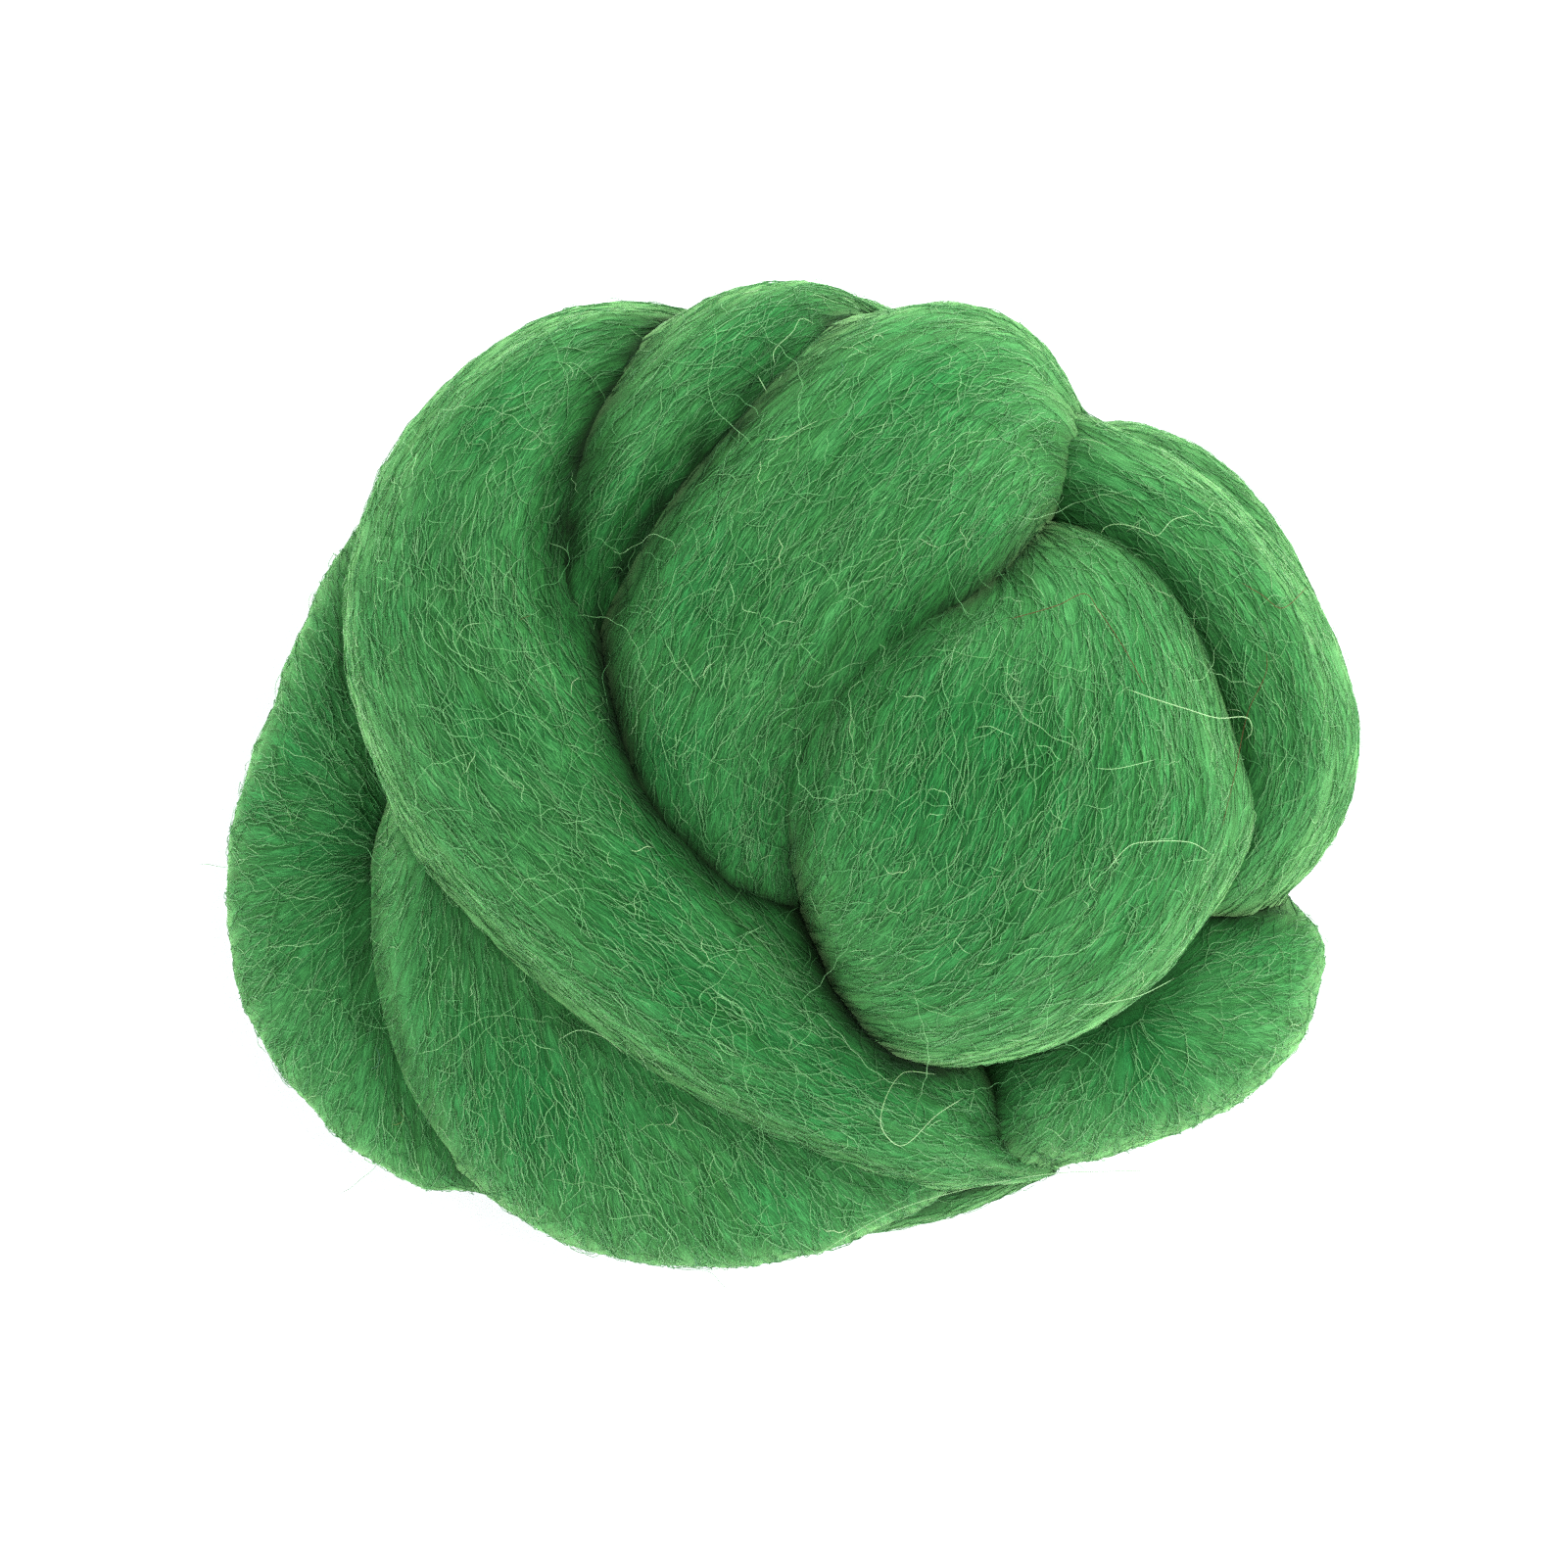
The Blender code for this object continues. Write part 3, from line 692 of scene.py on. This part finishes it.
def strandArrays(paths, radius):
    # three-sided tube along each path, thinning to a point at both ends
    count, steps = paths.shape[:2]
    ahead = unit(np.gradient(paths, axis=1))
    leaning = np.array([0.13, 0.21, 0.97])      # a direction that hardly any hair runs in
    side = unit(np.cross(ahead, leaning))
    over = np.cross(side, ahead)
    inner = steps - 2
    taper = np.minimum(1.0, np.minimum(np.arange(1, inner + 1), np.arange(inner, 0, -1)) / 2.0)
    angle = np.array([0.0, 2.0, 4.0]) * math.pi / 3.0
    offset = side[:, 1:-1, None] * np.cos(angle)[:, None] + over[:, 1:-1, None] * np.sin(angle)[:, None]
    rings = paths[:, 1:-1, None] + offset * (radius[:, None] * taper)[..., None, None]
    verts = np.concatenate([rings.reshape(count, -1, 3), paths[:, :1], paths[:, -1:]], axis=1)
    ring, corner = (grid.ravel() for grid in np.meshgrid(np.arange(inner - 1), np.arange(3), indexing="ij"))
    after = (corner + 1) % 3
    quads = np.stack([ring * 3 + corner, ring * 3 + after,
                      (ring + 1) * 3 + after, (ring + 1) * 3 + corner], axis=1)
    three, tip, lastRing = np.arange(3), inner * 3, (inner - 1) * 3
    nextThree = (three + 1) % 3
    startFan = np.stack([np.full(3, tip), nextThree, three], axis=1)
    endFan = np.stack([np.full(3, tip + 1), lastRing + three, lastRing + nextThree], axis=1)
    base = (np.arange(count) * (tip + 2))[:, None]
    corners = np.concatenate([(base + part.ravel()).ravel() for part in (quads, startFan, endFan)])
    sides = np.concatenate([np.full(count * len(quads), 4), np.full(count * 6, 3)])
    return verts.reshape(-1, 3), corners, sides


def strandValues(values):
    # a value at every path point, spread over the tube's vertices in their order
    inner = np.repeat(values[:, 1:-1], 3, axis=1)
    return np.concatenate([inner, values[:, :1], values[:, -1:]], axis=1).ravel()


def addStrands(name, groups, material):
    # groups of (paths, radius, tone, open, gap) joined as one mesh
    verts, corners, sides, offset = [], [], [], 0
    values = dict(tone=[], open=[], gap=[])
    for paths, radius, *perPoint in groups:
        paths = paths.copy()
        paths[..., 2] = np.maximum(paths[..., 2], cadBox[0][2] + hairLook["floorGap"] * mm)
        tube, tubeCorners, tubeSides = strandArrays(paths, radius)
        verts.append(tube)
        corners.append(tubeCorners + offset)
        sides.append(tubeSides)
        for column, part in zip(values.values(), perPoint):
            column.append(strandValues(np.broadcast_to(part, paths.shape[:2])))
        offset += len(tube)
    verts, corners, sides = (np.concatenate(parts) for parts in (verts, corners, sides))
    mesh = meshFromArrays(name, verts, corners, sides, smooth=False)
    for attribute, parts in values.items():
        writeValues(mesh, attribute, np.concatenate(parts))
    addPiece(name, mesh, material)
    triangles = int((sides - 2).sum())
    print(name, sum(len(group[0]) for group in groups), "hairs,", triangles, "triangles")
    return triangles


def seenFromOutside(tree, points, normals):
    # true where the first thing met outwards isn't the inside of another fold, nor wool close by
    keep = np.ones(len(points), dtype=bool)
    for index, (point, normal) in enumerate(zip(points, normals)):
        ray = Vector(normal)
        hit, face, _, distance = tree.ray_cast(Vector(point) + ray * hairLook["lookFrom"] * mm, ray)
        keep[index] = hit is None or (face.dot(ray) < 0.0 and distance > hairLook["hiddenBy"] * mm)
    return keep


hairSets = dict(
    # hairs per square mm, points a hair, mm long, spread of heading and of bend in radians,
    # mm of crimp length and height, mm above the wool, tone, and radius in mm; share holds pairs of
    # how far up the wool faces and the share of hairs kept there; clear is how far a hair is spared
    # the creases' shade, and openness how open the wool has to lie under it
    combed=dict(density=0.30, steps=11, length=(5.0, 11.0), heading=0.17, bend=0.05, crimp=(2.6, 5.2),
                sway=(0.08, 0.20), lift=(0.05, 0.30), tone=(0.02, 0.74), radius=(0.070, 0.090),
                share=((-0.4, 0.14), (-0.15, 0.14), (-0.05, 0.0), (0.1, 0.0), (0.35, 0.75), (1.0, 1.0))),
    crossing=dict(density=0.07, steps=11, length=(4.0, 10.0), heading=0.48, bend=0.08, crimp=(2.4, 4.8),
                  sway=(0.10, 0.24), lift=(0.15, 0.42), tone=(0.14, 0.74), radius=(0.055, 0.075),
                  share=((-0.4, 0.2), (-0.15, 0.2), (-0.05, 0.0), (0.1, 0.0), (0.35, 0.7), (1.0, 1.0))),
    fuzz=dict(density=0.03, steps=9, length=(2.5, 7.0), heading=1.40, bend=0.16, crimp=(2.0, 4.2),
              sway=(0.10, 0.30), lift=(0.20, 0.80), tone=(0.32, 1.0), radius=(0.05, 0.06),
              share=((-0.4, 0.3), (0.0, 0.6), (1.0, 1.0)), clear=0.3),
    # real loose fibres on open side-facing wool, spared most of the painted crease shade; their pale tone
    # is a painted rim light along the flanks
    rimLightFringe=dict(density=0.46, steps=8, length=(3.0, 6.5), heading=0.45, bend=0.10, crimp=(2.4, 4.8),
                sway=(0.05, 0.14), lift=(0.02, 0.20), tone=(0.60, 0.90), radius=(0.05, 0.065),
                share=((-0.15, 0.0), (0.0, 0.5), (0.12, 1.0), (0.30, 0.6), (0.60, 0.0)), clear=0.8,
                openness=0.80),
)


def hairsOnFold(fold, tree, rng):
    # crimped hairs: a walk over the fold, swaying sideways and up and down by one helix, bowed off the wool
    groups = []
    stations, spokes = fold["points"].shape[0], fold["points"].shape[1] - 1
    area = np.linalg.norm(np.cross(fold["rise"], fold["around"]), axis=2)[1:-1, :-1] / mm ** 2
    for look in hairSets.values():
        drawn = rng.choice(area.size, size=int(look["density"] * area.sum()), p=area.ravel() / area.sum())
        i = np.clip(drawn // spokes + 1 + rng.random(len(drawn)), 1.0, stations - 2.0)
        j = drawn % spokes + rng.random(len(drawn))
        points, normals = sampleGrid(fold["points"], i, j), sampleGrid(fold["normal"], i, j)
        keep = seenFromOutside(tree, points, normals) & (points[:, 2] > hairLook["lowest"] * mm)
        keep &= rng.random(len(i)) < np.interp(normals[:, 2], *zip(*look["share"]))
        keep &= sampleGrid(fold["open"], i, j) > look.get("openness", 0.0)
        i, j = i[keep], j[keep]
        count = len(i)
        if count < hairLook["fewest"]:
            continue
        length = rng.uniform(*look["length"], count) * mm
        heading = rng.normal(0.0, look["heading"], count) + np.where(rng.random(count) < 0.5, math.pi, 0.0)
        steps = look["steps"]
        bend = rng.normal(0.0, look["bend"], count)
        walked = walkFold(fold, i, j, heading, bend, length / (steps - 1), steps)
        path, normal, side, openness, gap = walked
        s = np.linspace(0.0, 1.0, steps)
        waves = length / mm / rng.uniform(*look["crimp"], count)
        phase = rng.uniform(0.0, 2.0 * math.pi, count)[:, None] + 2.0 * math.pi * waves[:, None] * s
        sway = rng.uniform(*look["sway"], count)[:, None] * mm
        bow = rng.uniform(*look["lift"], count)[:, None] * mm * np.sin(math.pi * s) ** hairLook["bowRound"]
        path = path + side * (sway * np.sin(phase))[..., None]
        rise = bow + hairLook["upSway"] * sway * (1.0 + np.cos(phase)) - hairLook["sunk"] * mm
        path = path + normal * rise[..., None]
        low, high = look["tone"]
        tone = low + (high - low) * rng.beta(*hairLook["toneSpread"], count)
        # hairs that stand free are spared a share of the painted crease shade
        clear = look.get("clear", 0.0)
        openness = openness + (1.0 - openness) * clear
        gap = gap + (creaseShadeLook["gapLimit"] - gap) * clear
        groups.append((path, rng.uniform(*look["radius"], count) * mm, tone[:, None], openness, gap))
    return groups


strayLook = dict(
    count=170, steps=26,             # hairs, points a hair
    length=(8.0, 24.0), crimp=(2.4, 5.0), sway=(0.08, 0.26), lift=(0.2, 0.6), radius=(0.04, 0.05),   # mm
    tone=(0.20, 0.80), upSway=0.4,   # share of the sway that goes up and down
    turn=0.6, speeds=(2.0, 3.0, 7.0),      # radians, and how fast the heading's three turns go
    steepest=2.2,                    # rise over run beyond which a hair is left out
    inset=0.95, onWool=0.6,          # share of the box where they start, least share of a hair on the wool
    lookHeight=0.3,                  # metres, from where the wool's height is looked up
)

# the camera's place in metres, focal length and picture width in pixels, and sensor in mm
photo = dict(cameraPlace=(-0.0008, -0.0007, 1.0), focal=6500.0, width=1601.0, sensor=36.0)
seenLook = dict(pixelsApart=5.0, leastPoints=8, lift=1.0)      # path points; mm over the wool

# the loose hairs that stand out most: tone, radius in mm, and places in the photograph's own pixels
knownHairs = dict(
    loop=(0.91, 0.07, ((957, 1097), (920, 1097), (899, 1146), (920, 1170), (957, 1138), (985, 1120))),
    longPale=(0.88, 0.065, ((830, 1285), (860, 1265), (930, 1230), (1060, 1200), (1170, 1195))),
    hook=(0.91, 0.07, ((1150, 703), (1174, 712), (1212, 724), (1243, 733), (1274, 733), (1278, 748),
                       (1269, 757))),
    arc=(0.89, 0.065, ((1128, 891), (1151, 865), (1166, 860), (1215, 860), (1238, 873))),
    thin=(0.80, 0.06, ((1115, 784), (1138, 785), (1182, 775))),
    brown=(1.0, 0.07, ((1028, 633), (1080, 618), (1108, 606), (1121, 622), (1149, 664), (1170, 703))),
    brownRight=(1.0, 0.065, ((1264, 593), (1288, 607), (1309, 621), (1337, 597))),
    brownDown=(1.0, 0.065, ((1293, 662), (1293, 686), (1274, 728), (1261, 790), (1247, 848))),
    notch=(0.89, 0.065, ((1124, 549), (1126, 540), (1140, 535), (1165, 540), (1181, 547), (1197, 531),
                         (1220, 525))),
    notchTip=(0.89, 0.065, ((1098, 448), (1117, 450), (1135, 457))),
    hookTop=(0.88, 0.065, ((792, 376), (790, 359), (810, 338), (818, 325), (835, 333))),
    shortTop=(0.88, 0.06, ((773, 382), (784, 402))),
    waveTop=(0.88, 0.06, ((792, 456), (818, 438), (838, 428))),
    bridge=(0.88, 0.065, ((1100, 1026), (1129, 1024), (1165, 1016), (1201, 998))),
    curl=(0.86, 0.06, ((570, 1062), (590, 1052), (615, 1058), (640, 1078))),
)


def heightsBelow(tree, start, aim):
    # heights where sight lines meet the wool, and the share of each row's lines that do; a line that
    # misses takes a height between its neighbours'
    shape = start.shape[:2]
    height = np.full(shape, np.nan)
    for index in np.ndindex(shape):
        hit = tree.ray_cast(Vector(start[index]), Vector(aim[index]))[0]
        if hit is not None:
            height[index] = hit.z
    column = np.arange(shape[1])
    known = ~np.isnan(height)
    for row in np.flatnonzero(known.any(axis=1) & ~known.all(axis=1)):
        height[row] = np.interp(column, column[known[row]], height[row][known[row]])
    return height, known.mean(axis=1)


def bridged(height):
    # a stiff hair: heights lifted to the greatest near by, then averaged, so that it spans hollows
    width = hairLook["stiff"]
    padded = np.pad(height, ((0, 0), (width, width)), mode="edge")
    windows = np.lib.stride_tricks.sliding_window_view(padded, 2 * width + 1, axis=1)
    highest = np.pad(windows.max(axis=2), ((0, 0), (width, width)), mode="edge")
    return np.lib.stride_tricks.sliding_window_view(highest, 2 * width + 1, axis=1).mean(axis=2)


def strayHairs(tree, rng):
    # long hairs wandering over the folds and across the creases, some past the edge of the ball; the
    # heading turns steadily and swings by a slow and a quick sine
    look = strayLook
    count, steps = look["count"], look["steps"]
    low, high = cadBox * look["inset"]
    start = rng.uniform(low[:2], high[:2], (count, 2))
    length = rng.uniform(*look["length"], count)[:, None] * mm
    s = np.linspace(0.0, 1.0, steps)
    turn = rng.normal(0.0, look["turn"], (count, 3))
    steady, slow, quick = look["speeds"]
    heading = (rng.uniform(0.0, 2.0 * math.pi, count)[:, None] + turn[:, :1] * s * steady
               + turn[:, 1:2] * np.sin(slow * s) + turn[:, 2:] * 0.5 * np.sin(quick * s))
    stride = length / (steps - 1)
    x = start[:, :1] + np.cumsum(stride * np.cos(heading), axis=1)
    y = start[:, 1:] + np.cumsum(stride * np.sin(heading), axis=1)
    above = np.stack([x, y, np.full_like(x, look["lookHeight"])], axis=2)
    height, share = heightsBelow(tree, above, np.broadcast_to((0.0, 0.0, -1.0), above.shape))
    height = bridged(height)
    steep = (np.abs(np.diff(height, axis=1)) / stride).max(axis=1)
    kept = (share > look["onWool"]) & (steep < look["steepest"])
    x, y, heading, height, length = x[kept], y[kept], heading[kept], height[kept], length[kept]
    waves = length / mm / rng.uniform(*look["crimp"], len(x))[:, None]
    phase = rng.uniform(0.0, 2.0 * math.pi, (len(x), 1)) + 2.0 * math.pi * waves * s
    sway = rng.uniform(*look["sway"], (len(x), 1)) * mm
    lift = rng.uniform(*look["lift"], (len(x), 1)) * mm
    x = x - np.sin(heading) * sway * np.sin(phase)
    y = y + np.cos(heading) * sway * np.sin(phase)
    z = height + lift + look["upSway"] * sway * np.cos(phase)
    path = np.stack([x, y, z], axis=2)
    tone = rng.uniform(*look["tone"], (len(x), 1))
    radius = rng.uniform(*look["radius"], len(x)) * mm
    return [(path, radius, tone, np.ones((1, 1)), np.full((1, 1), creaseShadeLook["gapLimit"]))]


def seenHairs(tree):
    # each known hair lies where the sight line through its place in the photograph meets the wool
    eye, focal = np.array(photo["cameraPlace"]), photo["focal"]
    groups = []
    for tone, radius, places in knownHairs.values():
        pts = np.array(places, float)
        reach = reachAlong(pts)
        steps = max(seenLook["leastPoints"], int(reach[-1] / seenLook["pixelsApart"]))
        pixel = smoothRows(reach, pts, np.linspace(0.0, reach[-1], steps)) - photo["width"] / 2.0
        aim = np.column_stack([pixel[:, 0], -pixel[:, 1], np.full(steps, -focal)])[None]
        start = np.broadcast_to(eye, aim.shape)
        height = bridged(heightsBelow(tree, start, aim)[0]) + seenLook["lift"] * mm
        path = eye + aim / focal * (eye[2] - height)[..., None]
        groups.append((path, np.array([radius]) * mm, np.full((1, 1), tone), np.ones((1, 1)),
                       np.full((1, 1), creaseShadeLook["gapLimit"])))
    return groups


studio = dict(
    floorHex="#f6f6fa", floorGlow=0.35, floorHalf=3.0,      # glow, and metres to each edge
    tentLow=6.2, tentHigh=0.10,      # brightness of the light tent at the horizon and overhead
    tentTop=0.8,                     # how far up the dimming ends: 1 is straight overhead
    tentColour=(0.97, 0.98, 1.0, 1.0),
    softboxPlace=(0.85, 0.45, 1.3), softboxSize=1.4, softboxPower=28.0,      # metres, metres, watts
)


def paleFloor():
    # a plain matt sheet of nearly white paper, lit a little from below as on a light table
    paper = emptyMaterial("mattPaper")
    shader = addNode(paper, "ShaderNodeBsdfPrincipled", {
        "Base Color": hexToLinear(studio["floorHex"]), "Roughness": 0.9,
        "Emission Color": hexToLinear(studio["floorHex"]), "Emission Strength": studio["floorGlow"]})
    addNode(paper, "ShaderNodeOutputMaterial", {"Surface": shader})
    corners = np.array([(-1.0, -1.0), (1.0, -1.0), (1.0, 1.0), (-1.0, 1.0)]) * studio["floorHalf"]
    verts = np.column_stack([corners, np.full(4, cadBox[0][2])])
    mesh = meshFromArrays("floor", verts, np.arange(4), np.array([4]))
    floor = addObject("floor", mesh)
    mesh.materials.append(paper)


def lightTent():
    # white tent: brightest low down all round, so the sides glow and the creases stay dark
    world = bpy.context.scene.world or bpy.data.worlds.new("lightTent")
    bpy.context.scene.world = world
    world.use_nodes = True
    world.node_tree.nodes.clear()
    sky = addNode(world, "ShaderNodeTexCoord", out="Generated")
    height = addNode(world, "ShaderNodeSeparateXYZ", {0: sky}, out="Z")
    fade = addNode(world, "ShaderNodeMapRange", {
        "Value": height, "From Min": 0.0, "From Max": studio["tentTop"],
        "To Min": studio["tentLow"], "To Max": studio["tentHigh"]}, interpolation_type="SMOOTHSTEP")
    light = addNode(world, "ShaderNodeBackground", {"Color": studio["tentColour"], "Strength": fade})
    addNode(world, "ShaderNodeOutputWorld", {"Surface": light})
    data = bpy.data.lights.new("softbox", "AREA")
    data.shape = "SQUARE"
    data.size = studio["softboxSize"]
    data.energy = studio["softboxPower"]
    softbox = addObject("softbox", data)
    softbox.location = studio["softboxPlace"]
    softbox.rotation_euler = (-Vector(studio["softboxPlace"])).to_track_quat("-Z", "Y").to_euler()


def photoCamera():
    # straight above the ball, as the photograph was taken
    data = bpy.data.cameras.new("camera")
    camera = addObject("camera", data)
    data.sensor_width = photo["sensor"]
    data.lens = photo["focal"] / photo["width"] * photo["sensor"]
    data.clip_end = 20.0
    camera.location = photo["cameraPlace"]
    camera.rotation_euler = (0.0, 0.0, 0.0)
    bpy.context.scene.camera = camera


folds = makeFolds()
wool, hair = combedWool(), looseWool()
meshes = {name: foldMesh(name + "Fold", fold) for name, fold in folds.items()}
tree = searchTree(meshes.values())
addShadeGap(folds, {name: searchTree([mesh]) for name, mesh in meshes.items()})
for name, mesh in meshes.items():
    addShadeOpenness(folds[name], tree)
    writeGridValues(mesh, folds[name])
    addPiece(name + "Fold", mesh, wool)
total = sum(len(mesh.loops) - 2 * len(mesh.polygons) for mesh in meshes.values())
print("folds", len(meshes), "triangles", total)

rng = np.random.default_rng(11)
for name, fold in folds.items():
    groups = hairsOnFold(fold, tree, rng)
    if groups:
        total += addStrands(name + "Hairs", groups, hair)
total += addStrands("strayHairs", strayHairs(tree, rng) + seenHairs(tree), hair)
print("triangles in all", total)

paleFloor()
lightTent()
photoCamera()
bpy.context.scene.view_settings.view_transform = "Standard"
bpy.context.scene.view_settings.look = "None"
bpy.context.scene.cycles.use_denoising = False      # it would smear the fine hairs
print("floor, light and camera ready")
